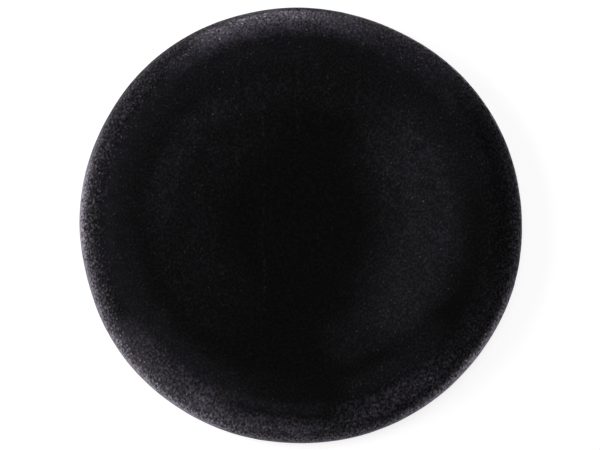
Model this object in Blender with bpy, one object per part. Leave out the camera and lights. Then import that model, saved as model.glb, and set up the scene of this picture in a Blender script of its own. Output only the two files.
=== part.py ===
"""Round furniture slider: a napped fabric sole drawn over a moulded plate, with a grip pad in its back.

It lies sole up: the tread of the grip pad stands on Z = 0 and the napped face looks up.
In use it is turned over. Every piece is turned about Z, and the layers are bonded to each
other, so nothing moves.
"""

import math

import bmesh
import bpy
from mathutils import Matrix, Vector

# Overall, with the number of flats that stand for each full circle
SLIDER_DIAMETER = 0.089
FLATS = 56

# Sole: a rounded shoulder, a narrow flat ring that touches the floor, and a shallow dish inside it
SHOULDER = 0.0088
RING_LAND = 0.0016
DISH_TURN = 0.0070
DISH_DEPTH = 0.0024

# Rim: its widest level over the fabric's back, and the rounding of the plate's back corner and lip
WIDEST_ABOVE_BACK = 0.0062
BACK_ROUND = 0.0026
LIP_RADIUS = 0.0006

# Layers
GAP = 0.0003
FILM = 0.00025
COVER = 0.0018
WEB = 0.00205
FOAM = 0.0030
GRIP = 0.0022

# Back: the fabric roll from the outline in to the pads, and how the pads sit in it
RIM_BAND = 0.0133
GRIP_PROUD = 0.0010
HEM_SHORT_OF_SEAT = 0.0008
PAD_EDGE_ROUND = 0.0005

# Pockets that core out the plate's rim, with a rib between each two
POCKET_COUNT = 12
POCKET_WIDTH = 0.0022
POCKET_ROOF = 0.0022
RIB = 0.0014
POCKET_FLATS = 4
CUT_PAST = 0.0010

# Tread of the grip pad
TREAD_DEPTH = 0.0008
TREAD_CENTRE = 0.0055
TREAD_RIDGE = 0.0034
TREAD_GROOVE = 0.0030
TREAD_EDGE = 0.0030
TREAD_DRAFT = 0.0003

# Radii and heights that follow from the sizes above
bond = GAP + FILM + GAP
cover_face = bond + COVER
foam_front = GRIP + bond
foam_back = foam_front + FOAM
pad_seat = foam_back + bond
web_centre = pad_seat + WEB
ring_top = web_centre + DISH_DEPTH
back_face = GRIP_PROUD + cover_face
widest = GRIP_PROUD + WIDEST_ABOVE_BACK
plate_radius = SLIDER_DIAMETER / 2 - cover_face
ring_outer = SLIDER_DIAMETER / 2 - SHOULDER
ring_inner = ring_outer - RING_LAND
pad_radius = SLIDER_DIAMETER / 2 - RIM_BAND
recess_radius = pad_radius + GAP + cover_face


def bend(centre, across, up, start, end, steps):
    """Points and outward normals along part of a circle or ellipse in the (radius, height) plane.

    The angles are in degrees, from straight up towards the rim. Negative half axes make a
    hollow bend, whose normals look at its centre.
    """
    side = math.copysign(1.0, up)
    path = []
    for step in range(steps + 1):
        angle = math.radians(start + (end - start) * step / steps)
        point = Vector((across * math.sin(angle), up * math.cos(angle)))
        normal = side * Vector((math.sin(angle) / across, math.cos(angle) / up))
        path.append((Vector(centre) + point, normal.normalized()))
    return path


def plate_front():
    """The plate's face from the axis to its widest level: dish, running ring and shoulder."""
    slope = 2 * math.atan(DISH_DEPTH / ring_inner)
    hollow = (ring_inner - DISH_TURN) / math.sin(slope)
    turn = DISH_TURN / math.sin(slope)
    tilt = math.degrees(slope)
    path = bend((0.0, web_centre + hollow), -hollow, -hollow, 0.0, -tilt, 3)
    path += bend((ring_inner, ring_top - turn), turn, turn, -tilt, 0.0, 3)[1:]
    path += bend((ring_outer, widest), plate_radius - ring_outer, ring_top - widest, 0.0, 90.0, 7)
    return path


def plate_back():
    """The plate's rim from its widest level round to the flat of its back."""
    centre = (plate_radius - BACK_ROUND, widest)
    return bend(centre, BACK_ROUND, widest - back_face, 90.0, 180.0, 4)


def plate_lip():
    """The lip where the plate's back turns into the recess for the pads."""
    centre = (recess_radius + LIP_RADIUS, back_face + LIP_RADIUS)
    return bend(centre, LIP_RADIUS, LIP_RADIUS, 180.0, 270.0, 3)


def recess_wall(height):
    """The point of the recess wall at a height, with its normal towards the axis."""
    return [(Vector((recess_radius, height)), Vector((-1.0, 0.0)))]


def raised(path, height):
    """The path moved out along its normals."""
    return [point + normal * height for point, normal in path]


def layer(path, low, high):
    """The outline of a layer that covers a path, from one height above it to another."""
    return raised(path, high) + raised(path, low)[::-1]


def disc(thickness):
    """The outline of a plain disc as wide as the pads, which stands on its own zero height."""
    return [Vector(p) for p in ((0.0, thickness), (pad_radius, thickness), (pad_radius, 0.0), (0.0, 0.0))]


def turned(name, outline, material, height=0.0):
    """Spins a closed outline about Z. Its points run down its outer side, top to bottom."""
    bm = bmesh.new()
    corners = [bm.verts.new((point.x, 0.0, point.y)) for point in outline]
    pairs = list(zip(corners, corners[1:]))
    if outline[0].x > 0.0:
        pairs.append((corners[-1], corners[0]))
    for pair in pairs:
        bm.edges.new(pair)
    bmesh.ops.spin(
        bm,
        geom=bm.verts[:] + bm.edges[:],
        cent=(0.0, 0.0, 0.0),
        axis=(0.0, 0.0, 1.0),
        angle=2 * math.pi,
        steps=FLATS,
        use_merge=True,
    )
    bmesh.ops.remove_doubles(bm, verts=bm.verts, dist=1e-6)
    bmesh.ops.recalc_face_normals(bm, faces=bm.faces)
    return placed(name, bm, material, height)


def placed(name, bm, material, height=0.0):
    """Makes an object of a bmesh, shaded smooth up to its corners, at a height on the axis."""
    mesh = bpy.data.meshes.new(name)
    bm.to_mesh(mesh)
    bm.free()
    mesh.shade_smooth()
    mesh.set_sharp_from_angle(angle=math.radians(32.0))
    if material:
        mesh.materials.append(material)
    body = bpy.data.objects.new(name, mesh)
    body.location.z = height
    bpy.context.scene.collection.objects.link(body)
    return body


def principled(name, colour, roughness, metallic=0.0):
    """A plain material."""
    material = bpy.data.materials.new(name)
    material.use_nodes = True
    shader = material.node_tree.nodes["Principled BSDF"]
    shader.inputs["Base Color"].default_value = (*colour, 1.0)
    shader.inputs["Roughness"].default_value = roughness
    shader.inputs["Metallic"].default_value = metallic
    return material


def napped_fabric():
    return principled("napped_fabric", (0.008, 0.008, 0.009), 0.95)


def moulded_plastic():
    return principled("moulded_plastic", (0.030, 0.030, 0.032), 0.45)


def closed_foam():
    return principled("closed_foam", (0.060, 0.060, 0.064), 0.85)


def grip_rubber():
    return principled("grip_rubber", (0.022, 0.022, 0.023), 0.62)


def adhesive():
    return principled("adhesive", (0.62, 0.56, 0.40), 0.35)


def sole_cover():
    """The napped fabric: over the face and rim, across the back and down into the recess."""
    path = plate_front() + plate_back()[1:] + plate_lip() + recess_wall(pad_seat - HEM_SHORT_OF_SEAT)
    return turned("sole_cover", layer(path, bond, cover_face), napped_fabric())


def face_bond(glue):
    """The film that holds the fabric to the plate's face, as far as its widest level."""
    return turned("face_bond_film", layer(plate_front(), GAP, GAP + FILM), glue)


def hem_bond(glue):
    """The ring of film that holds the turned-in hem to the plate's back and lip."""
    path = [plate_back()[-1]] + plate_lip()
    return turned("hem_bond_ring", layer(path, GAP, GAP + FILM), glue)


def rim_pockets():
    """A cutter for the blind pockets in the flat of the plate's back."""
    middle = (plate_radius - BACK_ROUND + recess_radius + LIP_RADIUS) / 2
    inner = middle - POCKET_WIDTH / 2
    outer = middle + POCKET_WIDTH / 2
    roof = ring_top - POCKET_ROOF
    mouth = back_face - CUT_PAST
    pitch = 2 * math.pi / POCKET_COUNT
    sweep = pitch - RIB / middle
    bm = bmesh.new()
    for index in range(POCKET_COUNT):
        corners = [(inner, 0.0, mouth), (outer, 0.0, mouth), (outer, 0.0, roof), (inner, 0.0, roof)]
        start = Matrix.Rotation(index * pitch + (pitch - sweep) / 2, 3, "Z")
        face = bm.faces.new([bm.verts.new(start @ Vector(corner)) for corner in corners])
        bmesh.ops.spin(
            bm,
            geom=[face] + face.edges[:] + face.verts[:],
            cent=(0.0, 0.0, 0.0),
            axis=(0.0, 0.0, 1.0),
            angle=sweep,
            steps=POCKET_FLATS,
        )
    bmesh.ops.recalc_face_normals(bm, faces=bm.faces)
    cutter = placed("rim_pocket_cutter", bm, None)
    cutter.hide_render = True
    cutter.display_type = "WIRE"
    return cutter


def base_plate():
    """The moulded plate: dished web, rounded hollow rim and the recess that holds the pads."""
    face = plate_front() + plate_back()[1:] + plate_lip() + recess_wall(pad_seat)
    outline = raised(face, 0.0) + [Vector((0.0, pad_seat))]
    plate = turned("base_plate", outline, moulded_plastic())
    cut = plate.modifiers.new("rim_pockets", "BOOLEAN")
    cut.operation = "DIFFERENCE"
    cut.solver = "EXACT"
    cut.object = rim_pockets()
    cut.object.parent = plate
    return plate


def pad_bond(glue):
    """The adhesive disc between the plate and the foam."""
    return turned("pad_bond_disc", disc(FILM), glue, foam_back + GAP)


def foam_pad():
    """The foam disc that lets the grip pad follow an uneven foot."""
    return turned("foam_pad", disc(FOAM), closed_foam(), foam_front)


def grip_bond(glue):
    """The adhesive disc between the foam and the grip pad."""
    return turned("grip_bond_disc", disc(FILM), glue, GRIP + GAP)


def tread_outline():
    """The grip pad's underside, from its edge in to the axis: ridges with drafted grooves between."""
    pitch = TREAD_RIDGE + TREAD_GROOVE
    room = pad_radius - TREAD_EDGE - TREAD_CENTRE + TREAD_RIDGE
    outline = []
    for index in reversed(range(int(room / pitch))):
        low = TREAD_CENTRE + index * pitch
        high = low + TREAD_GROOVE
        outline += [
            Vector((high, 0.0)),
            Vector((high - TREAD_DRAFT, TREAD_DEPTH)),
            Vector((low + TREAD_DRAFT, TREAD_DEPTH)),
            Vector((low, 0.0)),
        ]
    return outline + [Vector((0.0, 0.0))]


def grip_pad():
    """The rubber pad that a furniture foot stands on, with ring-shaped treads."""
    edge = bend((pad_radius - PAD_EDGE_ROUND, PAD_EDGE_ROUND), PAD_EDGE_ROUND, PAD_EDGE_ROUND, 90.0, 180.0, 2)
    outline = [Vector((0.0, GRIP)), Vector((pad_radius, GRIP))]
    return turned("grip_pad", outline + raised(edge, 0.0) + tread_outline(), grip_rubber())


def main():
    for old in list(bpy.data.objects):
        bpy.data.objects.remove(old, do_unlink=True)
    axis = bpy.data.objects.new("slider_axis", None)
    bpy.context.scene.collection.objects.link(axis)
    glue = adhesive()
    pieces = [sole_cover(), face_bond(glue), hem_bond(glue), base_plate()]
    pieces += [pad_bond(glue), foam_pad(), grip_bond(glue), grip_pad()]
    for piece in pieces:
        piece.parent = axis


main()
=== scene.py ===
"""Looks of the round furniture slider: napped sole, drawn-in hem, treaded grip pad and the layers between."""

import math

import bpy
import numpy as np
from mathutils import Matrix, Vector, noise


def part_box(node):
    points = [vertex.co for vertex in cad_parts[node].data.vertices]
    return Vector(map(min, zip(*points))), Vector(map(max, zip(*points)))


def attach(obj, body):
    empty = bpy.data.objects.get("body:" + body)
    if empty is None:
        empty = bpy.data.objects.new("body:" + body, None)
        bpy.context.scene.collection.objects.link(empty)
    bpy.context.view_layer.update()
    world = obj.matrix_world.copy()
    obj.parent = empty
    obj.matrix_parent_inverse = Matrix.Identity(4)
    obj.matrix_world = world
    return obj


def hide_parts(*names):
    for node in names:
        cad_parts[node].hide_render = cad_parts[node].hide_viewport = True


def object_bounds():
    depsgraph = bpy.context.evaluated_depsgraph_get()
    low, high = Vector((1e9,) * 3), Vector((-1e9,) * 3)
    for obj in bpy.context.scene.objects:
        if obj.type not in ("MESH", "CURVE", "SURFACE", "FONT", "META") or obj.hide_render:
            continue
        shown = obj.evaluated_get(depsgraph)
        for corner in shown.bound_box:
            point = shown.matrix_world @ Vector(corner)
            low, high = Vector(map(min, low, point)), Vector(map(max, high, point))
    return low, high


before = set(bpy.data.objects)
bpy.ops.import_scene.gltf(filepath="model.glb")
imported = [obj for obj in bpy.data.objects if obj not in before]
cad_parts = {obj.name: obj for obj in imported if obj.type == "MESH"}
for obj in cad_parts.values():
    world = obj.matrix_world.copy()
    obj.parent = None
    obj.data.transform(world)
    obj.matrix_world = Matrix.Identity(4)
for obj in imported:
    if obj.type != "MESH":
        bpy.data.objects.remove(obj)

MM = 0.001

# The frame's own sizes
cad_low, cad_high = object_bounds()
cover_low, cover_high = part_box("sole_cover")
pad_low, pad_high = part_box("grip_pad")
foam_low, foam_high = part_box("foam_pad")
slider_radius = (cover_high.x - cover_low.x) / 2
sole_top = cover_high.z
back_level = cover_low.z
pad_radius = (pad_high.x - pad_low.x) / 2

# Section of the fabric, and the bond and fabric that lie over the plate, as in the part's source
SHOULDER = 8.8 * MM
RING_LAND = 1.6 * MM
DISH_TURN = 7.0 * MM
DISH_DEPTH = 2.4 * MM
WIDEST_ABOVE_BACK = 6.2 * MM
BACK_ROUND = 2.6 * MM
LIP_RADIUS = 0.6 * MM
BOND = 0.85 * MM
FABRIC = 1.8 * MM
LAYERS = BOND + FABRIC

# Gap between the hem and the pads, and the level where the hem ends, just past the foam
SIDE_GAP = 0.3 * MM
HEM_PAST_FOAM = 0.05 * MM
HEM_EDGE = foam_high.z + HEM_PAST_FOAM

# How much longer the fabric's section is than the cut disc's radius, once it is drawn over the plate
DRAWN_LONGER = 0.10

# Tread of the grip pad, as in the part's source, and how its edges are rounded
TREAD_DEPTH = 0.8 * MM
TREAD_CENTRE = 5.5 * MM
TREAD_RIDGE = 3.4 * MM
TREAD_GROOVE = 3.0 * MM
TREAD_EDGE = 3.0 * MM
RIDGE_ROUND = 0.3 * MM
GROOVE_ROUND = 0.35 * MM
PAD_ROUND = 0.5 * MM
PAD_TOP_ROUND = 0.15 * MM
FOAM_ROUND = 0.25 * MM

# How finely the fabric's section is drawn, and how close its points must lie to be one
BEND_STEPS = 60
DISH_TURN_STEPS = 30
LIP_STEPS = 40
SAME_POINT = 1e-7

# How finely the fabric is built: cells across its face, rows round the rim and back, and rows inside it,
# which end near the axis
FACE_CELLS = 144
ROW_SPACING = 0.45 * MM
INNER_ROWS = 18
INNER_END = 4.0 * MM

# The map of the fabric: the outer face's middle and reach, and those of the inner face in a corner
MAP_MIDDLE = 0.5
MAP_REACH = 0.495
CORNER_MIDDLE = 0.08
CORNER_REACH = 0.075

# How finely turned pieces are built: steps round, and in degrees an arc's step and the least sharp corner
TURN_STEPS = 256
ARC_STEP = 15.0
SHARP_CORNER = 40.0

# How unevenly the fabric lies: the outline's lumps (bearing and half width in degrees, height),
# how far they reach along the section, and small unevenness (size, height)
OUTLINE_LUMPS = [
    (128.0, 22.0, 0.38 * MM),
    (68.0, 15.0, -0.32 * MM),
    (195.0, 14.0, -0.36 * MM),
    (28.0, 14.0, 0.16 * MM),
    (270.0, 14.0, -0.14 * MM),
    (342.0, 12.0, 0.15 * MM),
]
LUMP_REACH = 6.0 * MM
UNEVEN = [(9.0 * MM, 0.05 * MM), (2.6 * MM, 0.03 * MM)]

# Gathers where the hem is drawn in over the back. On the way from the rim to the hem's edge they start,
# are full, and are pressed flatter where the hem turns into the recess
GATHER_COUNT = 46
GATHER_HEIGHT = 0.42 * MM
GATHER_START = 0.25
GATHER_FULL = 0.75
GATHER_FLATTENS = (0.72, 0.9)
GATHER_PRESSED = 0.65

# How the gathers stray from even spacing (waves in a turn, stray and phase in radians), the level that
# they rise and fall about, the height that all share, and how the rest of it varies (waves, phase)
GATHER_STRAY = [(3, 1.1, 0.6), (7, 0.7, 2.1), (11, 0.5, 4.0)]
GATHER_LEVEL = 0.55
GATHER_EVEN = 0.75
GATHER_VARIES = (5, 1.3)

# Photograph's framing: half widths of the outline and of the picture in pixels
OUTLINE_PX = 221.55
HALF_PICTURE_PX = 300.0

# Camera: distance in metres, elevation in degrees, width of its sensor in millimetres, and how far to the
# right of the axis and up the picture it looks
CAMERA_DISTANCE = 0.75
CAMERA_ELEVATION = 79.4
SENSOR_WIDTH = 36.0
AIM = (-0.08 * MM, -0.29 * MM)

# Soft lamps: bearing from +X towards +Y and elevation in degrees, distance, width and height in metres,
# and the level at which each lights a surface that faces it, where 1 shows a white as white. The last
# one shines through the floor, which is clear from below, and lights the back alone
LAMPS = {
    "key": (180.0, 45.0, 0.9, 0.6, 0.5, 0.70),
    "lower_fill": (275.0, 22.0, 0.9, 0.6, 0.35, 0.08),
    "overhead": (90.0, 80.0, 1.1, 0.9, 0.9, 0.04),
    "left_strip": (186.0, 2.5, 0.9, 0.6, 0.12, 0.24),
    "low_right": (314.0, 2.5, 0.9, 0.4, 0.12, 0.29),
    "under": (50.0, -58.0, 1.6, 0.4, 0.3, 0.90),
}
AMBIENT = 0.01

# Floor: how far it lies under the slider, its reach and its paint
FLOOR_GAP = 0.02 * MM
FLOOR_REACH = 6.0
FLOOR_PAINT = (0.35, 0.35, 0.35, 1.0)

# How white the floor looks under the slider, where its glow is dimmed as painted shade, and beside it, and
# how far inside and outside the rim it passes from one to the other. Between the last distances, in metres,
# it gains the rest
GLOW_UNDER = 0.1
GLOW_BESIDE = 0.92
GLOW_INSIDE_RIM = 10.0 * MM
GLOW_OUTSIDE_RIM = 2.0 * MM
GLOW_GAINED = 0.08
GLOW_GAINED_OVER = (0.15, 0.6)

# Patches of painted light on the nap, a painted highlight over 0 and painted shade under 0: bearing and half
# width in degrees, the radii in millimetres where it starts, is full, stays full and ends, and how much
DISH_PAINTED_LIGHT = {
    "right": (0.0, 68.0, 11.0, 24.0, 29.0, 35.5, 0.86),
    "right_top": (36.0, 34.0, 30.0, 34.0, 37.0, 41.0, 0.20),
    "right_foot": (-58.0, 27.0, 18.0, 26.0, 29.0, 33.0, 0.34),
    "left": (152.0, 40.0, 23.5, 27.0, 29.5, 33.5, 0.31),
    "left_wide": (172.0, 85.0, 12.0, 20.0, 28.0, 33.0, 0.25),
    "top": (90.0, 45.0, 20.0, 26.0, 38.0, 42.0, 0.21),
    "crest_left": (175.0, 115.0, 30.0, 36.0, 38.0, 40.4, 0.40),
    "crest_right": (20.0, 60.0, 32.0, 35.5, 38.0, 40.0, 0.14),
    "upper_left": (121.0, 14.0, 37.0, 39.4, 41.0, 42.4, 0.90),
    "crest_foot": (303.0, 24.0, 31.5, 35.5, 36.6, 38.6, 0.42),
    "foot_left": (262.0, 20.0, 36.6, 38.2, 38.8, 40.0, 0.36),
    "crest_low_left": (234.0, 26.0, 33.0, 36.0, 37.0, 38.6, 0.22),
    "upper_right": (57.0, 30.0, 35.5, 39.5, 42.2, 43.8, 0.76),
    "low_right_rim": (322.0, 34.0, 36.5, 39.0, 41.0, 43.0, 0.24),
}
RIM_PAINTED_LIGHT = {
    "top": (95.0, 31.0, 36.6, 41.6, 42.4, 43.7, 1.12),
    "lower_left": (231.0, 24.0, 36.8, 40.4, 41.5, 44.2, 0.41),
    "foot_left": (257.0, 23.0, 39.2, 42.0, 42.4, 44.0, 0.36),
    "lower_right": (297.0, 20.0, 37.0, 40.2, 41.2, 43.0, 0.26),
}
# Painted light and shade on the flanks: over 0 a stronger painted sheen, under 0 painted shade
FLANK_PAINTED_LIGHT = {
    "top": (101.0, 23.0, 39.6, 41.6, 42.5, 43.7, 1.30),
    "top_edge": (88.0, 11.0, 42.6, 43.3, 46.0, 47.0, -0.58),
    "lower_left": (230.0, 22.0, 41.8, 42.9, 46.0, 47.0, 0.34),
    "upper_left_gap": (133.0, 36.0, 40.6, 42.2, 46.0, 47.0, -0.64),
    "left_low": (195.0, 15.0, 38.0, 40.4, 41.6, 42.8, 0.22),
    "left_gap": (174.0, 26.0, 40.8, 42.4, 42.9, 43.6, -0.26),
    "left_edge": (177.0, 16.0, 42.5, 43.3, 46.0, 47.0, 0.46),
    "foot_gap": (276.0, 30.0, 42.0, 43.5, 46.0, 47.0, -0.50),
    "low_right_gap": (312.0, 30.0, 40.8, 42.2, 43.2, 43.9, -0.56),
    "low_right_edge": (329.0, 20.0, 43.1, 43.7, 46.0, 47.0, 0.44),
    "right_gap": (6.0, 48.0, 37.6, 40.6, 46.0, 47.0, -0.62),
}

# The share of a painted light patch's half width that is full, how far its edges wander in the dish and on
# the rim, and the size of that wandering
PATCH_CORE = 0.3
DISH_WANDER = 4.0 * MM
RIM_WANDER = 1.4 * MM
WANDER_SIZE = 3.5 * MM

# Soft mottling of the painted highlight patches: its size, the range of noise that it follows, and the least
# and most of a patch that it leaves
MOTTLE_SIZE = 2.6 * MM
MOTTLE_RANGE = (0.25, 0.75)
MOTTLE_SHARES = (0.74, 1.26)

# Where the painted light patches fade out, below and above the widest level
FADE_BELOW = 1.0 * MM
FADE_ABOVE = 1.5 * MM

# Faint lines that a brush has left in the nap: place across, and lowest and highest point, in millimetres
NAP_LINES = [
    (-19.0, 19.0, 34.0),
    (-12.6, 2.0, 35.0),
    (-7.4, -20.0, 30.0),
    (-0.6, 16.0, 36.0),
    (11.3, 18.0, 32.0),
]
LINE_WIDTH = 0.50
LINE_FADE = 4.0

# How the lines wander sideways, and how they break into dashes, both drawn out along the line
LINE_WANDER = 1.6 * MM
LINE_WANDER_SIZE = 5.0 * MM
LINE_WANDER_SQUEEZE = (0.3, 1.0, 1.0)
DASH_SIZE = 1.8 * MM
DASH_SQUEEZE = (0.6, 1.0, 1.0)
DASH_RANGE = (0.42, 0.72)
DASH_STRENGTH = 0.72

# Width of a tuft, how its coordinates are squeezed, which draws it out a little along Y and more down the
# rim, and how much fewer the bright tufts are than the dark ones
TUFT = 0.42 * MM
TUFT_SQUEEZE = (1.0, 0.8, 0.45)
TUFT_CONTRAST = 2.0

# How far the tufts splay in the dish and on the rim, and how much more in the painted highlights and brush
# lines
SPLAY_DISH = 0.08
SPLAY_RIM = 0.135
SPLAY_DISH_HIGHLIGHTED = 0.02
SPLAY_RIM_HIGHLIGHTED = 0.09

# Painted glints, a few tips whose colour is made brighter: their spacing, the shares of it where a glint is
# full and ends, how few of them are bright, and how much brighter they are outside the painted highlights and
# within them
GLINT_SPACING = 0.7 * MM
GLINT_FULL = 0.06
GLINT_END = 0.24
GLINT_RARITY = 2.0
GLINT_UNHIGHLIGHTED = 1.5
GLINT_HIGHLIGHTED = 6.0

# Radii between which the dish's nap passes over to the rim's, in the wandering edges of its painted light,
# its splay, its painted flank sheen and its painted glints and lint. Between the last two the painted sheen
# takes the edge's colour
WANDER_RADII = (35.0 * MM, 41.0 * MM)
SPLAY_RADII = (33.0 * MM, 41.0 * MM)
FLANK_RADII = (33.0 * MM, 40.0 * MM)
GLINT_AND_LINT_RADII = (36.0 * MM, 42.0 * MM)
EDGE_RADII = (41.5 * MM, 43.4 * MM)

# Colours of the nap: deep in the pile, at its tips, painted highlights in the dish and on the rim, painted
# sheen on the fibres' flanks within the rim and along its edge, and of lint
PILE_DEEP = (0.0028, 0.0028, 0.0028)
PILE_TIPS = (0.0074, 0.0073, 0.0075)
DISH_HIGHLIGHT = (0.0487, 0.0475, 0.0582)
RIM_HIGHLIGHT = (0.206, 0.185, 0.242)
FLANK_SHEEN = (0.575, 0.50, 0.680)
EDGE_FLANK_SHEEN = (0.550, 0.50, 0.598)
LINT = (0.048, 0.046, 0.051)

# How much of the painted highlight colours shows: what the brightest tufts add, and what all have
DISH_LIFT = (0.44, 0.18)
RIM_LIFT = (0.80, 0.07)

# How much of the painted flank sheen shows: the most that facing away counts, how steeply it grows, the least
# that a painted light patch leaves, and the share that shows in the dish
FLANK_MOST = 0.75
FLANK_GROWTH = 2.4
FLANK_LEAST = 0.1
FLANK_IN_DISH = 0.35

# How strongly the painted glints and the lint show on the rim outside the painted highlights, and how strong
# the painted highlights or that rim level must be for the glints and the lint to begin and to be full
RIM_GLINT_AND_LINT = 0.12
GLINT_GROWS = (0.03, 0.35)
LINT_GROWS = (0.02, 0.15)

# Noise: the middle that its colours stray from, by about a tenth, and the range of most of its values
NOISE_MIDDLE = (0.5, 0.5, 0.5)
NOISE_STRAY = 0.1
NOISE_RANGE = (0.3, 0.7)


def bend(centre, across, up, start, end, steps):
    """Points and outward normals along part of a circle or ellipse in section."""
    angles = np.radians(np.linspace(start, end, steps + 1))
    points = np.stack([centre[0] + across * np.sin(angles), centre[1] + up * np.cos(angles)], 1)
    normals = np.stack([np.sin(angles) / across, np.cos(angles) / up], 1) * math.copysign(1.0, up)
    return points, normals / np.linalg.norm(normals, axis=1)[:, None]


def smooth_step(value, low, high):
    """0 under low, 1 over high, and smooth between."""
    share = np.clip((value - low) / (high - low), 0.0, 1.0)
    return share * share * (3.0 - 2.0 * share)


class Section:
    """The fabric's outer face in section, from the axis over the sole and rim to the tucked hem."""

    def __init__(self):
        plate_top = sole_top - LAYERS
        plate_back = back_level + LAYERS
        plate_radius = slider_radius - LAYERS
        widest = back_level + WIDEST_ABOVE_BACK
        ring_outer = slider_radius - SHOULDER
        ring_inner = ring_outer - RING_LAND
        recess = pad_radius + SIDE_GAP + LAYERS
        shoulder = plate_radius - ring_outer
        back_centre = (plate_radius - BACK_ROUND, widest)
        lip_centre = (recess + LIP_RADIUS, plate_back + LIP_RADIUS)
        slope = 2 * math.atan(DISH_DEPTH / ring_inner)
        tilt = math.degrees(slope)
        hollow = (ring_inner - DISH_TURN) / math.sin(slope)
        turn = DISH_TURN / math.sin(slope)
        runs = [
            bend((0.0, plate_top - DISH_DEPTH + hollow), -hollow, -hollow, 0.0, -tilt, BEND_STEPS),
            bend((ring_inner, plate_top - turn), turn, turn, -tilt, 0.0, DISH_TURN_STEPS),
            bend((ring_outer, widest), shoulder, plate_top - widest, 0.0, 90.0, BEND_STEPS),
            bend(back_centre, BACK_ROUND, widest - plate_back, 90.0, 180.0, BEND_STEPS),
            bend(lip_centre, LIP_RADIUS, LIP_RADIUS, 180.0, 270.0, LIP_STEPS),
            (np.array([[recess, HEM_EDGE]]), np.array([[-1.0, 0.0]])),
        ]
        normals = np.concatenate([run[1] for run in runs])
        points = np.concatenate([run[0] for run in runs]) + normals * LAYERS
        keep = np.r_[True, np.linalg.norm(np.diff(points, axis=0), axis=1) > SAME_POINT]
        self.points = points[keep]
        self.normals = normals[keep]
        self.along = np.r_[0.0, np.cumsum(np.linalg.norm(np.diff(self.points, axis=0), axis=1))]
        self.length = self.along[-1]
        middle = self.points - self.normals * FABRIC / 2
        self.cut_width = 2 * np.linalg.norm(np.diff(middle, axis=0), axis=1).sum() / (1 + DRAWN_LONGER)
        widest_row = int(np.argmax(self.points[:, 0]))
        self.widest = widest
        self.widest_along = self.along[widest_row]
        rising = self.points[: widest_row + 1, 0]
        self.face_length = np.interp(ring_outer, rising, self.along[: widest_row + 1])
        self.inner_end = np.interp(INNER_END, rising, self.along[: widest_row + 1])

    def at(self, along):
        """Radius, height and normal at a distance along the section."""
        point = [np.interp(along, self.along, self.points[:, k]) for k in (0, 1)]
        normal = [np.interp(along, self.along, self.normals[:, k]) for k in (0, 1)]
        size = np.hypot(*normal)
        return point[0], point[1], normal[0] / size, normal[1] / size


section = Section()


def add(tree, kind, inputs=None, **settings):
    """A node with its settings and inputs. An input is a value, or a socket to link from."""
    node = tree.nodes.new(kind)
    for name, value in settings.items():
        setattr(node, name, value)
    for socket, value in (inputs or {}).items():
        if isinstance(value, bpy.types.NodeSocket):
            tree.links.new(value, node.inputs[socket])
        else:
            node.inputs[socket].default_value = value
    return node


def math_node(tree, operation, *values, clamp=False):
    """The result of a Math node."""
    node = add(tree, "ShaderNodeMath", dict(enumerate(values)), operation=operation, use_clamp=clamp)
    return node.outputs[0]


def vector_node(tree, operation, *values, scale=None, result="Vector"):
    """The result of a Vector Math node."""
    inputs = dict(enumerate(values))
    if scale is not None:
        inputs["Scale"] = scale
    return add(tree, "ShaderNodeVectorMath", inputs, operation=operation).outputs[result]


def step_between(tree, value, low, high, to_low=0.0, to_high=1.0):
    """A smooth step from one value to another."""
    inputs = {"Value": value, "From Min": low, "From Max": high, "To Min": to_low, "To Max": to_high}
    return add(tree, "ShaderNodeMapRange", inputs, interpolation_type="SMOOTHSTEP").outputs["Result"]


def noise_node(tree, where, size, detail=2.0, roughness=0.5, output=0):
    """A Noise texture whose lumps are about the size that is given in metres. Output 1 is its colour."""
    inputs = {"Vector": where, "Scale": 1.0 / size, "Detail": detail, "Roughness": roughness}
    return add(tree, "ShaderNodeTexNoise", inputs).outputs[output]


def stray(tree, where, size):
    """A small vector that wanders in all directions, with lumps of about the size given."""
    return vector_node(tree, "SUBTRACT", noise_node(tree, where, size, output=1), NOISE_MIDDLE)


def mix_colour(tree, factor, first, second):
    """A colour between two, each given as a colour or a socket."""
    first, second = ((*value, 1.0) if isinstance(value, tuple) else value for value in (first, second))
    inputs = {"Factor": factor, "A": first, "B": second}
    return add(tree, "ShaderNodeMix", inputs, data_type="RGBA").outputs["Result"]


def relief_from(tree, shader, height, strength, depth):
    """Lets a height show in the shader's normal."""
    bump = add(tree, "ShaderNodeBump", {"Height": height, "Strength": strength, "Distance": depth})
    tree.links.new(bump.outputs["Normal"], shader.inputs["Normal"])


def new_group(name, inputs, outputs):
    """A shader node group and its two end nodes. A default of None makes an input a vector."""
    group = bpy.data.node_groups.new(name, "ShaderNodeTree")
    for socket, default in inputs.items():
        kind = "NodeSocketVector" if default is None else "NodeSocketFloat"
        made = group.interface.new_socket(socket, in_out="INPUT", socket_type=kind)
        if default is not None:
            made.default_value = default
    for socket, kind in outputs.items():
        group.interface.new_socket(socket, in_out="OUTPUT", socket_type="NodeSocket" + kind)
    return group, group.nodes.new("NodeGroupInput").outputs, group.nodes.new("NodeGroupOutput").inputs


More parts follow.
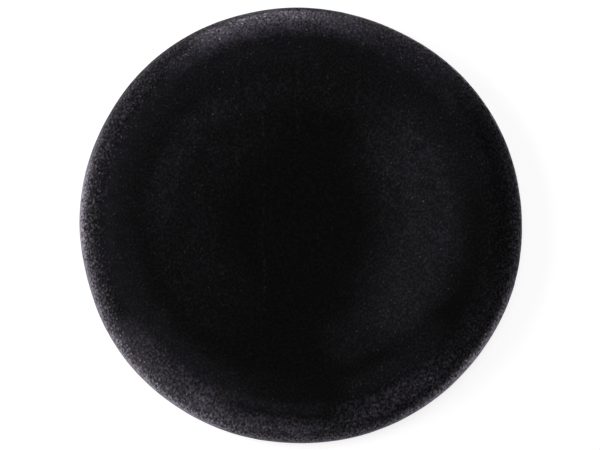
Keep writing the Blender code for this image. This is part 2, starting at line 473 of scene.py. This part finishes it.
def standing_pile_group():
    """Standing pile: each tuft of fibre tips faces its own way, and a mask of a few tips for painted glints.
    """
    inputs = {"Where": None, "Normal": None, "Tuft Size": TUFT, "Spread": SPLAY_DISH}
    inputs["Glint Spacing"] = GLINT_SPACING
    outputs = {"Normal": "Vector", "Tone": "Float", "Glint": "Float"}
    group, given, put = new_group("standing_pile", inputs, outputs)
    fine = math_node(group, "DIVIDE", 1.0, given["Tuft Size"])
    texture = {"Vector": given["Where"], "Scale": fine, "Detail": 1.0, "Roughness": 0.5}
    tufts = add(group, "ShaderNodeTexNoise", texture)
    facing = vector_node(group, "SUBTRACT", tufts.outputs[1], NOISE_MIDDLE)
    amount = math_node(group, "MULTIPLY", given["Spread"], 1.0 / NOISE_STRAY)
    facing = vector_node(group, "SCALE", facing, scale=amount)
    turned = vector_node(group, "ADD", given["Normal"], facing)
    group.links.new(vector_node(group, "NORMALIZE", turned), put["Normal"])
    group.links.new(tufts.outputs[0], put["Tone"])
    # A few tips get a mask that makes their colour brighter, as painted glints
    apart = math_node(group, "DIVIDE", 1.0, given["Glint Spacing"])
    tips = add(group, "ShaderNodeTexVoronoi", {"Vector": given["Where"], "Scale": apart})
    near = step_between(group, tips.outputs["Distance"], GLINT_FULL, GLINT_END, 1.0, 0.0)
    bright = add(group, "ShaderNodeSeparateColor", {"Color": tips.outputs["Color"]}).outputs[0]
    bright = math_node(group, "POWER", bright, GLINT_RARITY)
    group.links.new(math_node(group, "MULTIPLY", near, bright), put["Glint"])
    return group


def painted_light_patch(group, where, radius, patch):
    """A soft-edged patch of painted light on a ring: its amount in its middle, 0 outside."""
    bearing, half_width, starts, full, stays, ends, amount = patch
    rise = step_between(group, radius, starts * MM, full * MM)
    fall = step_between(group, radius, stays * MM, ends * MM, 1.0, 0.0)
    ring = math_node(group, "MULTIPLY", rise, fall)
    way = (math.cos(math.radians(bearing)), math.sin(math.radians(bearing)), 0.0)
    ahead = vector_node(group, "DOT_PRODUCT", where, way, result="Value")
    ahead = math_node(group, "DIVIDE", ahead, radius)
    edge = math.cos(math.radians(half_width))
    middle = math.cos(math.radians(half_width * PATCH_CORE))
    window = math_node(group, "MULTIPLY", ring, step_between(group, ahead, edge, middle))
    return math_node(group, "MULTIPLY", window, amount)


def brush_lines(group, where):
    """Faint broken lines across the nap."""
    drawn_out = vector_node(group, "MULTIPLY", where, LINE_WANDER_SQUEEZE)
    wander = vector_node(group, "SCALE", stray(group, drawn_out, LINE_WANDER_SIZE), scale=LINE_WANDER)
    place = add(group, "ShaderNodeSeparateXYZ", {"Vector": vector_node(group, "ADD", where, wander)}).outputs
    total = None
    for across, lowest, highest in NAP_LINES:
        off = math_node(group, "ABSOLUTE", math_node(group, "SUBTRACT", place["X"], across * MM))
        line = step_between(group, off, 0.0, LINE_WIDTH * MM, 1.0, 0.0)
        rise = step_between(group, place["Y"], lowest * MM, (lowest + LINE_FADE) * MM)
        fall = step_between(group, place["Y"], (highest - LINE_FADE) * MM, highest * MM, 1.0, 0.0)
        line = math_node(group, "MULTIPLY", line, math_node(group, "MULTIPLY", rise, fall))
        total = line if total is None else math_node(group, "ADD", total, line)
    drawn_out = vector_node(group, "MULTIPLY", where, DASH_SQUEEZE)
    dashes = noise_node(group, drawn_out, DASH_SIZE, detail=4.0, roughness=0.7)
    dashes = step_between(group, dashes, *DASH_RANGE, 0.0, DASH_STRENGTH)
    return math_node(group, "MULTIPLY", total, dashes)


def patch_sum(group, where, patches, first=None):
    """All painted light patches of a dictionary together, on top of a first value where one is given."""
    flat = vector_node(group, "MULTIPLY", where, (1.0, 1.0, 0.0))
    radius = vector_node(group, "LENGTH", flat, result="Value")
    total = first
    for patch in patches.values():
        amount = painted_light_patch(group, flat, radius, patch)
        total = amount if total is None else math_node(group, "ADD", total, amount)
    return total


def nap_painted_light_group():
    """Painted light on the nap: painted highlights in the dish and rim with soft mottling, brush lines, and
    painted light and shade on the flanks.
    """
    outputs = {"Dish Light And Lines": "Float", "Rim": "Float", "Flank Light": "Float"}
    group, given, put = new_group("nap_painted_light", {"Where": None}, outputs)
    out = vector_node(group, "LENGTH", given["Where"], result="Value")
    reach = step_between(group, out, *WANDER_RADII, DISH_WANDER, RIM_WANDER)
    wander = vector_node(group, "SCALE", stray(group, given["Where"], WANDER_SIZE), scale=reach)
    where = vector_node(group, "ADD", given["Where"], wander)
    height = add(group, "ShaderNodeSeparateXYZ", {"Vector": given["Where"]}).outputs["Z"]
    upper = step_between(group, height, section.widest - FADE_BELOW, section.widest + FADE_ABOVE)
    mottle = noise_node(group, given["Where"], MOTTLE_SIZE, detail=3.0, roughness=0.6)
    mottle = step_between(group, mottle, *MOTTLE_RANGE, *MOTTLE_SHARES)
    mottle = math_node(group, "MULTIPLY", mottle, upper)
    # Painted highlight patches in the dish with the brush lines and on the rim, and painted light and shade
    # on the flanks
    dish_light_and_lines = patch_sum(group, where, DISH_PAINTED_LIGHT, brush_lines(group, given["Where"]))
    rim = patch_sum(group, where, RIM_PAINTED_LIGHT)
    flank_light = patch_sum(group, where, FLANK_PAINTED_LIGHT)
    group.links.new(math_node(group, "MULTIPLY", dish_light_and_lines, mottle), put["Dish Light And Lines"])
    group.links.new(math_node(group, "MULTIPLY", rim, mottle), put["Rim"])
    group.links.new(math_node(group, "MULTIPLY", flank_light, upper), put["Flank Light"])
    return group


def fine_grain_group():
    """Fine surface grain: a small height, and a tone that wanders over larger areas."""
    inputs = {"Where": None, "Grain Size": 0.2 * MM, "Patch Size": 6.0 * MM}
    group, given, put = new_group("fine_grain", inputs, {"Height": "Float", "Patches": "Float"})
    for socket, size, detail in (("Height", "Grain Size", 2.0), ("Patches", "Patch Size", 3.0)):
        scale = math_node(group, "DIVIDE", 1.0, given[size])
        texture = {"Vector": given["Where"], "Scale": scale, "Detail": detail, "Roughness": 0.55}
        group.links.new(add(group, "ShaderNodeTexNoise", texture).outputs[0], put[socket])
    return group


def lint_group():
    """Sparse specks of lint, dust or bubbles, in about half of the cells that space them."""
    bare_share = 0.5
    inputs = {"Where": None, "Speck Size": 0.25 * MM, "Spacing": 3.0 * MM}
    group, given, put = new_group("lint", inputs, {"Mask": "Float"})
    scale = math_node(group, "DIVIDE", 1.0, given["Spacing"])
    cells = add(group, "ShaderNodeTexVoronoi", {"Vector": given["Where"], "Scale": scale})
    reach = math_node(group, "MULTIPLY", given["Speck Size"], scale)
    speck = math_node(group, "LESS_THAN", cells.outputs["Distance"], reach)
    chosen = add(group, "ShaderNodeSeparateColor", {"Color": cells.outputs["Color"]}).outputs[0]
    chosen = math_node(group, "GREATER_THAN", chosen, bare_share)
    group.links.new(math_node(group, "MULTIPLY", speck, chosen), put["Mask"])
    return group


def new_material(name):
    """A material with its tree, its Principled shader and the object's own coordinates."""
    material = bpy.data.materials.new(name)
    material.use_nodes = True
    tree = material.node_tree
    where = add(tree, "ShaderNodeTexCoord").outputs["Object"]
    return material, tree, tree.nodes["Principled BSDF"], where


def placed_group(tree, group, **inputs):
    """A group node with its inputs, whose names have spaces for underscores."""
    named = {name.replace("_", " ").title(): value for name, value in inputs.items()}
    return add(tree, "ShaderNodeGroup", named, node_tree=group).outputs


def napped_fabric(groups):
    """Short, dense, black nap: dark down the pile, with painted highlights, shade, glints and sheen."""
    material, tree, shader, where = new_material("napped_fabric")
    face = add(tree, "ShaderNodeNewGeometry").outputs["Normal"]
    nap_light = placed_group(tree, groups["nap_painted_light"], where=where)
    out = vector_node(tree, "LENGTH", where, result="Value")
    splay = step_between(tree, out, *SPLAY_RADII, SPLAY_DISH, SPLAY_RIM)
    splay = math_node(tree, "MULTIPLY_ADD", nap_light["Dish Light And Lines"], SPLAY_DISH_HIGHLIGHTED, splay)
    spread = math_node(tree, "MULTIPLY_ADD", nap_light["Rim"], SPLAY_RIM_HIGHLIGHTED, splay)
    drawn_out = vector_node(tree, "MULTIPLY", where, TUFT_SQUEEZE)
    pile = {"tuft_size": TUFT, "spread": spread, "glint_spacing": GLINT_SPACING}
    nap = placed_group(tree, groups["standing_pile"], where=drawn_out, normal=face, **pile)

    # Tips, darker down the pile, with painted highlights in the dish and on the rim, and the brush lines
    # lighter
    tone = math_node(tree, "POWER", step_between(tree, nap["Tone"], *NOISE_RANGE), TUFT_CONTRAST)
    tips = mix_colour(tree, tone, PILE_DEEP, PILE_TIPS)
    for amount, lift, highlight_colour in ((nap_light["Dish Light And Lines"], DISH_LIFT, DISH_HIGHLIGHT), (nap_light["Rim"], RIM_LIFT, RIM_HIGHLIGHT)):
        share = math_node(tree, "MULTIPLY_ADD", tone, *lift)
        tips = mix_colour(tree, math_node(tree, "MULTIPLY", amount, share, clamp=True), tips, highlight_colour)

    # Painted sheen, greyer where the surface faces away as the fibres' flanks show, raised or lowered in
    # patches
    facing = add(tree, "ShaderNodeLayerWeight", {"Blend": 0.5, "Normal": nap["Normal"]}).outputs["Facing"]
    flank_sheen = math_node(tree, "POWER", math_node(tree, "MINIMUM", facing, FLANK_MOST), FLANK_GROWTH)
    strength = math_node(tree, "MAXIMUM", math_node(tree, "ADD", nap_light["Flank Light"], 1.0), FLANK_LEAST)
    outward = step_between(tree, out, *FLANK_RADII, FLANK_IN_DISH, 1.0)
    strength = math_node(tree, "MULTIPLY", strength, outward)
    flank_sheen = math_node(tree, "MULTIPLY", flank_sheen, strength, clamp=True)
    flank_sheen_colour = mix_colour(tree, step_between(tree, out, *EDGE_RADII), FLANK_SHEEN, EDGE_FLANK_SHEEN)
    colour = mix_colour(tree, flank_sheen, tips, flank_sheen_colour)

    # Painted glints on a few tips, and specks of lint, both growing in the painted highlights and towards the
    # rim
    rim_glints_and_lint = step_between(tree, out, *GLINT_AND_LINT_RADII, 0.0, RIM_GLINT_AND_LINT)
    glints_and_lint = math_node(tree, "MAXIMUM", nap_light["Dish Light And Lines"], rim_glints_and_lint)
    glint = step_between(tree, glints_and_lint, *GLINT_GROWS, GLINT_UNHIGHLIGHTED, GLINT_HIGHLIGHTED)
    brighter = math_node(tree, "MULTIPLY_ADD", nap["Glint"], glint, 1.0)
    colour = vector_node(tree, "SCALE", colour, scale=brighter)
    specks = placed_group(tree, groups["lint"], where=where, speck_size=0.13 * MM, spacing=2.2 * MM)
    caught = math_node(tree, "MULTIPLY", specks["Mask"], step_between(tree, glints_and_lint, *LINT_GROWS))
    colour = mix_colour(tree, caught, colour, LINT)

    tree.links.new(colour, shader.inputs["Base Color"])
    shader.inputs["Roughness"].default_value = 0.95
    shader.inputs["Specular IOR Level"].default_value = 0.03
    shader.inputs["Sheen Weight"].default_value = 0.04
    shader.inputs["Sheen Roughness"].default_value = 0.4
    shader.inputs["Sheen Tint"].default_value = (0.88, 0.84, 1.0, 1.0)
    tree.links.new(nap["Normal"], shader.inputs["Normal"])
    return material


def moulded_plastic(groups):
    """Black moulded plastic with a fine spark-eroded grain and faint flow patches."""
    dark, pale = (0.024, 0.024, 0.026), (0.037, 0.037, 0.040)
    smooth, rough = 0.38, 0.52
    material, tree, shader, where = new_material("moulded_plastic")
    grain = placed_group(tree, groups["fine_grain"], where=where, grain_size=0.18 * MM, patch_size=9.0 * MM)
    colour = mix_colour(tree, grain["Patches"], dark, pale)
    roughness = step_between(tree, grain["Patches"], *NOISE_RANGE, smooth, rough)
    tree.links.new(colour, shader.inputs["Base Color"])
    tree.links.new(roughness, shader.inputs["Roughness"])
    relief_from(tree, shader, grain["Height"], strength=0.6, depth=0.03 * MM)
    return material


def closed_foam(groups):
    """Charcoal closed-cell foam: small cells that the knife has opened on its edge."""
    cell, cell_wall = 0.45 * MM, (0.15, 0.65)
    dark, pale = (0.036, 0.036, 0.039), (0.092, 0.092, 0.098)
    smooth, rough = 0.78, 0.92
    patch_share, wall_share, grain_share = 0.5, 0.5, 0.25
    material, tree, shader, where = new_material("closed_foam")
    cells = add(tree, "ShaderNodeTexVoronoi", {"Vector": where, "Scale": 1.0 / cell})
    grain = placed_group(tree, groups["fine_grain"], where=where, grain_size=0.15 * MM, patch_size=7.0 * MM)
    wall = step_between(tree, cells.outputs["Distance"], *cell_wall)
    walls = math_node(tree, "MULTIPLY", wall, wall_share)
    tone = math_node(tree, "MULTIPLY_ADD", grain["Patches"], patch_share, walls)
    tree.links.new(mix_colour(tree, tone, dark, pale), shader.inputs["Base Color"])
    tree.links.new(step_between(tree, wall, 0.0, 1.0, rough, smooth), shader.inputs["Roughness"])
    height = math_node(tree, "MULTIPLY_ADD", grain["Height"], grain_share, wall)
    relief_from(tree, shader, height, strength=0.8, depth=0.12 * MM)
    return material


def grip_rubber(groups):
    """Matt black rubber, a little greyer with bloom between the treads, with specks of dust."""
    black, bloomed, dusty = (0.017, 0.017, 0.018), (0.046, 0.046, 0.048), (0.16, 0.155, 0.15)
    dust_share, groove_starts = 0.5, 0.15 * MM
    smooth, patchy, unworn = 0.42, 0.20, 0.18
    material, tree, shader, where = new_material("grip_rubber")
    grain = placed_group(tree, groups["fine_grain"], where=where, grain_size=0.22 * MM, patch_size=8.0 * MM)
    dust = placed_group(tree, groups["lint"], where=where, speck_size=0.16 * MM, spacing=2.2 * MM)
    height = add(tree, "ShaderNodeSeparateXYZ", {"Vector": where}).outputs["Z"]
    groove = step_between(tree, height, groove_starts, TREAD_DEPTH)
    colour = mix_colour(tree, math_node(tree, "MULTIPLY", groove, grain["Patches"]), black, bloomed)
    colour = mix_colour(tree, math_node(tree, "MULTIPLY", dust["Mask"], dust_share), colour, dusty)
    tree.links.new(colour, shader.inputs["Base Color"])
    rough = math_node(tree, "MULTIPLY_ADD", groove, unworn, smooth)
    rough = math_node(tree, "MULTIPLY_ADD", grain["Patches"], patchy, rough)
    tree.links.new(rough, shader.inputs["Roughness"])
    relief_from(tree, shader, grain["Height"], strength=0.7, depth=0.05 * MM)
    return material


def adhesive(groups):
    """Amber adhesive film with small trapped bubbles and a slightly rippled face."""
    amber, pale, bubble = (0.52, 0.45, 0.29), (0.72, 0.67, 0.52), (0.84, 0.82, 0.74)
    bubble_share = 0.6
    smooth, rough = 0.25, 0.42
    material, tree, shader, where = new_material("adhesive")
    grain = placed_group(tree, groups["fine_grain"], where=where, grain_size=1.1 * MM, patch_size=5.0 * MM)
    bubbles = placed_group(tree, groups["lint"], where=where, speck_size=0.35 * MM, spacing=1.6 * MM)
    colour = mix_colour(tree, grain["Patches"], amber, pale)
    colour = mix_colour(tree, math_node(tree, "MULTIPLY", bubbles["Mask"], bubble_share), colour, bubble)
    roughness = step_between(tree, grain["Patches"], *NOISE_RANGE, smooth, rough)
    tree.links.new(colour, shader.inputs["Base Color"])
    tree.links.new(roughness, shader.inputs["Roughness"])
    height = math_node(tree, "ADD", grain["Height"], bubbles["Mask"])
    relief_from(tree, shader, height, strength=0.5, depth=0.04 * MM)
    return material


def disc_grid(cells):
    """An even grid over the unit disc: radius share and angle of each corner, square rows."""
    line = np.linspace(-1.0, 1.0, cells + 1)
    x, y = np.meshgrid(line, line)
    wide = np.abs(x) > np.abs(y)
    share = np.where(wide, np.abs(x), np.abs(y))
    with np.errstate(divide="ignore", invalid="ignore"):
        angle = np.where(wide, math.pi / 4 * y / x, math.pi / 2 - math.pi / 4 * x / y)
    angle = np.where(share == 0, 0.0, angle)
    angle = angle + np.where(wide, np.where(x < 0, math.pi, 0.0), np.where(y < 0, math.pi, 0.0))
    return share, angle


def border(cells):
    """Indices of the grid's border, anticlockwise from its lower left corner."""
    side = cells + 1
    index = np.arange(side * side).reshape(side, side)
    return np.concatenate([index[0, :-1], index[:-1, -1], index[-1, :0:-1], index[:0:-1, 0]])


def random_field(points, size):
    """Smooth noise from -1 to 1 at each point, with lumps of about the size given."""
    return np.array([noise.noise(Vector(point)) for point in (points / size).tolist()])


def relief(along, turn, points):
    """How far the nap's face stands out of its even section: lumps, unevenness and the hem's gathers."""
    height = np.zeros(len(along))
    rim = np.exp(-(((along - section.widest_along) / LUMP_REACH) ** 2))
    for bearing, half_width, lump in OUTLINE_LUMPS:
        off = (np.degrees(turn) - bearing + 180.0) % 360.0 - 180.0
        height += lump * rim * np.exp(-((off / half_width) ** 2))
    for size, amount in UNEVEN:
        height += amount * random_field(points, size)
    wander = sum(amount * np.sin(waves * turn + phase) for waves, amount, phase in GATHER_STRAY)
    fold = 1.0 - np.abs(np.sin(GATHER_COUNT / 2 * turn + wander))
    waves, phase = GATHER_VARIES
    varied = GATHER_EVEN + (1.0 - GATHER_EVEN) * np.sin(waves * turn + phase)
    back = (along - section.widest_along) / (section.length - section.widest_along)
    pressed = GATHER_PRESSED * smooth_step(back, *GATHER_FLATTENS)
    drawn = smooth_step(back, GATHER_START, GATHER_FULL) * (1.0 - pressed)
    return height + GATHER_HEIGHT * drawn * (GATHER_LEVEL - fold * varied)


def fabric_mesh():
    """The whole cover as one closed mesh: an even grid over the face, then rings to the hem and back."""
    share, angle = disc_grid(FACE_CELLS)
    along = [(share * section.face_length).ravel()]
    turn = [angle.ravel()]
    depth = [np.zeros(share.size)]
    side = FACE_CELLS + 1
    index = np.arange(side * side).reshape(side, side)
    quads = [np.stack([index[:-1, :-1], index[:-1, 1:], index[1:, 1:], index[1:, :-1]], -1).reshape(-1, 4)]
    ring = border(FACE_CELLS)
    ring_angle = angle.ravel()[ring]
    rest = section.length - section.face_length
    rows = math.ceil(rest / ROW_SPACING)
    count = side * side
    steps = [(section.face_length + rest * row / rows, 0.0) for row in range(1, rows + 1)]
    under = section.length - section.inner_end
    steps += [(section.length - under * row / INNER_ROWS, FABRIC) for row in range(INNER_ROWS + 1)]
    for distance, inset in steps:
        new = np.arange(count, count + len(ring))
        quads.append(np.stack([ring, new, np.roll(new, -1), np.roll(ring, -1)], -1))
        along.append(np.full(len(ring), distance))
        turn.append(ring_angle)
        depth.append(np.full(len(ring), inset))
        count += len(ring)
        ring = new
    along, turn, depth = (np.concatenate(values) for values in (along, turn, depth))
    radius, height, out, up = section.at(along)
    even = np.stack([radius * np.cos(turn), radius * np.sin(turn), height], -1)
    stand = np.where(depth > 0.0, -depth, relief(along, turn, even))
    radius, height = radius + out * stand, height + up * stand
    points = np.stack([radius * np.cos(turn), radius * np.sin(turn), height], -1)
    faces = np.concatenate(quads).tolist() + [ring.tolist()]
    mesh = bpy.data.meshes.new("napped_sole")
    mesh.from_pydata(points.tolist(), [], faces)
    mesh.validate()
    mesh.update()
    mesh.shade_smooth()
    bake_map(mesh, along, turn, depth)
    return mesh


def bake_map(mesh, along, turn, depth):
    """A seamless round map of the outer face, by distance along the section, and a small inner one."""
    corner = np.empty(len(mesh.loops), int)
    mesh.loops.foreach_get("vertex_index", corner)
    start = np.empty(len(mesh.polygons), int)
    mesh.polygons.foreach_get("loop_start", start)
    inner_face = np.minimum.reduceat(depth[corner], start) > 0.0
    inner = np.repeat(inner_face, np.diff(np.r_[start, len(corner)]))
    reach = (along + depth)[corner] / (section.length + FABRIC)
    across, up = np.cos(turn[corner]), np.sin(turn[corner])
    outer_map = [MAP_MIDDLE + MAP_REACH * reach * across, MAP_MIDDLE + MAP_REACH * reach * up]
    inner_map = [CORNER_MIDDLE - CORNER_REACH * reach * across, CORNER_MIDDLE + CORNER_REACH * reach * up]
    layer = mesh.uv_layers.new(name="OFBake")
    layer.uv.foreach_set("vector", np.where(inner, inner_map, outer_map).T.ravel())


def rounded(corners):
    """The outline through corners (radius, height, rounding), with an arc at each rounded one."""
    points = [Vector(corner[:2]) for corner in corners]
    outline = [points[0]]
    for before, corner, after, (_, _, rounding) in zip(points, points[1:], points[2:], corners[1:-1]):
        into, away = (before - corner).normalized(), (after - corner).normalized()
        opening = into.angle(away)
        if not rounding:
            outline.append(corner)
            continue
        reach = rounding / math.tan(opening / 2)
        centre = corner + (into + away).normalized() * rounding / math.sin(opening / 2)
        start, end = corner + into * reach - centre, corner + away * reach - centre
        sweep = start.angle_signed(end)
        steps = max(2, round(math.degrees(abs(sweep)) / ARC_STEP))
        for step in range(steps + 1):
            turn = -sweep * step / steps
            x = start.x * math.cos(turn) - start.y * math.sin(turn)
            y = start.x * math.sin(turn) + start.y * math.cos(turn)
            outline.append(centre + Vector((x, y)))
    return outline + [points[-1]]


def turned_mesh(name, outline):
    """A closed mesh turned about Z from an outline whose ends are on the axis, top first."""
    turns = np.linspace(0.0, 2 * math.pi, TURN_STEPS, endpoint=False)
    points = [(0.0, 0.0, outline[0].y)]
    rings = []
    for point in outline[1:-1]:
        rings.append(np.arange(len(points), len(points) + TURN_STEPS))
        points += [(point.x * math.cos(turn), point.x * math.sin(turn), point.y) for turn in turns]
    points.append((0.0, 0.0, outline[-1].y))
    faces = [(0, int(a), int(b)) for a, b in zip(rings[0], np.roll(rings[0], -1))]
    for upper, lower in zip(rings, rings[1:]):
        faces += np.stack([upper, lower, np.roll(lower, -1), np.roll(upper, -1)], -1).tolist()
    faces += [(len(points) - 1, int(b), int(a)) for a, b in zip(rings[-1], np.roll(rings[-1], -1))]
    mesh = bpy.data.meshes.new(name)
    mesh.from_pydata(points, [], faces)
    mesh.validate()
    mesh.update()
    mesh.shade_smooth()
    mesh.set_sharp_from_angle(angle=math.radians(SHARP_CORNER))
    return mesh


def grip_pad_outline():
    """The rubber pad in section: flat against the adhesive, with rounded ring treads below."""
    corners = [(0.0, pad_high.z, 0.0), (pad_radius, pad_high.z, PAD_TOP_ROUND)]
    corners.append((pad_radius, pad_low.z, PAD_ROUND))
    pitch = TREAD_RIDGE + TREAD_GROOVE
    room = pad_radius - TREAD_EDGE - TREAD_CENTRE + TREAD_RIDGE
    floor_level = pad_low.z + TREAD_DEPTH
    for index in reversed(range(int(room / pitch))):
        inner = TREAD_CENTRE + index * pitch
        outer = inner + TREAD_GROOVE
        corners += [
            (outer, pad_low.z, RIDGE_ROUND),
            (outer - RIDGE_ROUND, floor_level, GROOVE_ROUND),
            (inner + RIDGE_ROUND, floor_level, GROOVE_ROUND),
            (inner, pad_low.z, RIDGE_ROUND),
        ]
    return rounded(corners + [(0.0, pad_low.z, 0.0)])


def foam_outline():
    """The foam disc in section, with its edge a little rounded."""
    top = [(0.0, foam_high.z, 0.0), (pad_radius, foam_high.z, FOAM_ROUND)]
    bottom = [(pad_radius, foam_low.z, FOAM_ROUND), (0.0, foam_low.z, 0.0)]
    return rounded(top + bottom)


def show(name, mesh, material, slot, *nodes):
    """Puts a piece in place of the nodes that it stands for."""
    piece = bpy.data.objects.new(name, mesh)
    bpy.context.scene.collection.objects.link(piece)
    mesh.materials.append(material)
    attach(piece, "root")
    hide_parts(*nodes)
    return piece


def dress(node_name, material):
    """Gives its finish to a piece that keeps its solid."""
    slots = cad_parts[node_name].data.materials
    slots.clear()
    slots.append(material)


def floor():
    """A wide pale floor that looks white, keeps a soft shadow, and is clear to sight and lamps from below."""
    mesh = bpy.data.meshes.new("floor")
    low = cad_low.z - FLOOR_GAP
    corners = [(-1, -1), (1, -1), (1, 1), (-1, 1)]
    mesh.from_pydata([(x * FLOOR_REACH, y * FLOOR_REACH, low) for x, y in corners], [], [(0, 1, 2, 3)])
    mesh.materials.append(pale_floor())
    ground = bpy.data.objects.new("floor", mesh)
    bpy.context.scene.collection.objects.link(ground)


def pale_floor():
    """Grey paint for the shadow, with a glow over it that only sight and gloss meet, dimmed under the slider
    as painted shade.
    """
    material = bpy.data.materials.new("pale_floor")
    material.use_nodes = True
    tree = material.node_tree
    tree.nodes.clear()
    far = vector_node(tree, "LENGTH", add(tree, "ShaderNodeTexCoord").outputs["Object"], result="Value")
    # Under the slider and just past its rim the glow is dimmed, as painted shade over the paint's own shadow
    inner, outer = slider_radius - GLOW_INSIDE_RIM, slider_radius + GLOW_OUTSIDE_RIM
    level = step_between(tree, far, inner, outer, GLOW_UNDER, GLOW_BESIDE)
    level = math_node(tree, "ADD", level, step_between(tree, far, *GLOW_GAINED_OVER, 0.0, GLOW_GAINED))
    strength = math_node(tree, "MULTIPLY", seen_as_white(tree), level)
    glow = add(tree, "ShaderNodeEmission", {"Strength": strength})
    paint = add(tree, "ShaderNodeBsdfDiffuse", {"Color": FLOOR_PAINT})
    both = add(tree, "ShaderNodeAddShader", {0: glow.outputs[0], 1: paint.outputs[0]})
    below = add(tree, "ShaderNodeNewGeometry").outputs["Backfacing"]
    clear = math_node(tree, "MAXIMUM", below, add(tree, "ShaderNodeLightPath").outputs["Is Shadow Ray"])
    pane = add(tree, "ShaderNodeBsdfTransparent")
    face = add(tree, "ShaderNodeMixShader", {0: clear, 1: both.outputs[0], 2: pane.outputs[0]})
    end = add(tree, "ShaderNodeOutputMaterial")
    tree.links.new(face.outputs[0], end.inputs["Surface"])
    return material


def seen_as_white(tree):
    """1 for rays from the camera, off gloss and through clear matter, and 0 for the rest."""
    path = add(tree, "ShaderNodeLightPath").outputs
    seen = math_node(tree, "MAXIMUM", path["Is Camera Ray"], path["Is Glossy Ray"])
    return math_node(tree, "MAXIMUM", seen, path["Is Transmission Ray"])


def white_world():
    """White to the camera, and a dim even light on everything else."""
    world = bpy.data.worlds.new("studio")
    bpy.context.scene.world = world
    world.use_nodes = True
    tree = world.node_tree
    back = tree.nodes["Background"]
    strength = math_node(tree, "MULTIPLY_ADD", seen_as_white(tree), 1.0 - AMBIENT, AMBIENT)
    back.inputs["Color"].default_value = (1.0, 1.0, 1.0, 1.0)
    tree.links.new(strength, back.inputs["Strength"])


def lamps():
    """Soft lamps round the slider, each facing it."""
    centre = Vector((0.0, 0.0, section.widest))
    for name, (bearing, elevation, distance, width, height, level) in LAMPS.items():
        light = bpy.data.lights.new(name, "AREA")
        light.shape = "RECTANGLE"
        light.size = width
        light.size_y = height
        light.energy = level * (math.pi * distance) ** 2
        lamp = bpy.data.objects.new(name, light)
        turn, lift = math.radians(bearing), math.radians(elevation)
        way = Vector((math.cos(turn) * math.cos(lift), math.sin(turn) * math.cos(lift), math.sin(lift)))
        lamp.location = centre + way * distance
        lamp.rotation_euler = (-way).to_track_quat("-Z", "Y").to_euler()
        bpy.context.scene.collection.objects.link(lamp)


def camera():
    """A long lens almost straight over the sole, as in the photograph."""
    view = bpy.data.cameras.new("camera")
    view.sensor_width = SENSOR_WIDTH
    half_view = slider_radius * HALF_PICTURE_PX / OUTLINE_PX
    view.lens = view.sensor_width / 2 * CAMERA_DISTANCE / half_view
    holder = bpy.data.objects.new("camera", view)
    lift = math.radians(CAMERA_ELEVATION)
    back = Vector((0.0, -math.cos(lift), math.sin(lift)))
    holder.location = Vector((*AIM, section.widest)) + back * CAMERA_DISTANCE
    holder.rotation_euler = (-back).to_track_quat("-Z", "Y").to_euler()
    bpy.context.scene.collection.objects.link(holder)
    bpy.context.scene.camera = holder


def dressed_slider():
    """The slider's own pieces, over or in place of the frame's solids."""
    made = [standing_pile_group(), nap_painted_light_group(), fine_grain_group(), lint_group()]
    groups = {group.name: group for group in made}
    rubber, foam, glue = grip_rubber(groups), closed_foam(groups), adhesive(groups)
    cover = show("napped_sole", fabric_mesh(), napped_fabric(groups), "napped_fabric", "sole_cover")
    show("treaded_pad", turned_mesh("treaded_pad", grip_pad_outline()), rubber, "grip_rubber", "grip_pad")
    soft = show("foam_disc", turned_mesh("foam_disc", foam_outline()), foam, "closed_foam", "foam_pad")
    dress("base_plate", moulded_plastic(groups))
    for film in ("face_bond_film", "hem_bond_ring", "pad_bond_disc", "grip_bond_disc"):
        dress(film, glue)


bpy.context.scene.view_settings.view_transform = "Standard"
camera()
dressed_slider()
floor()
white_world()
lamps()
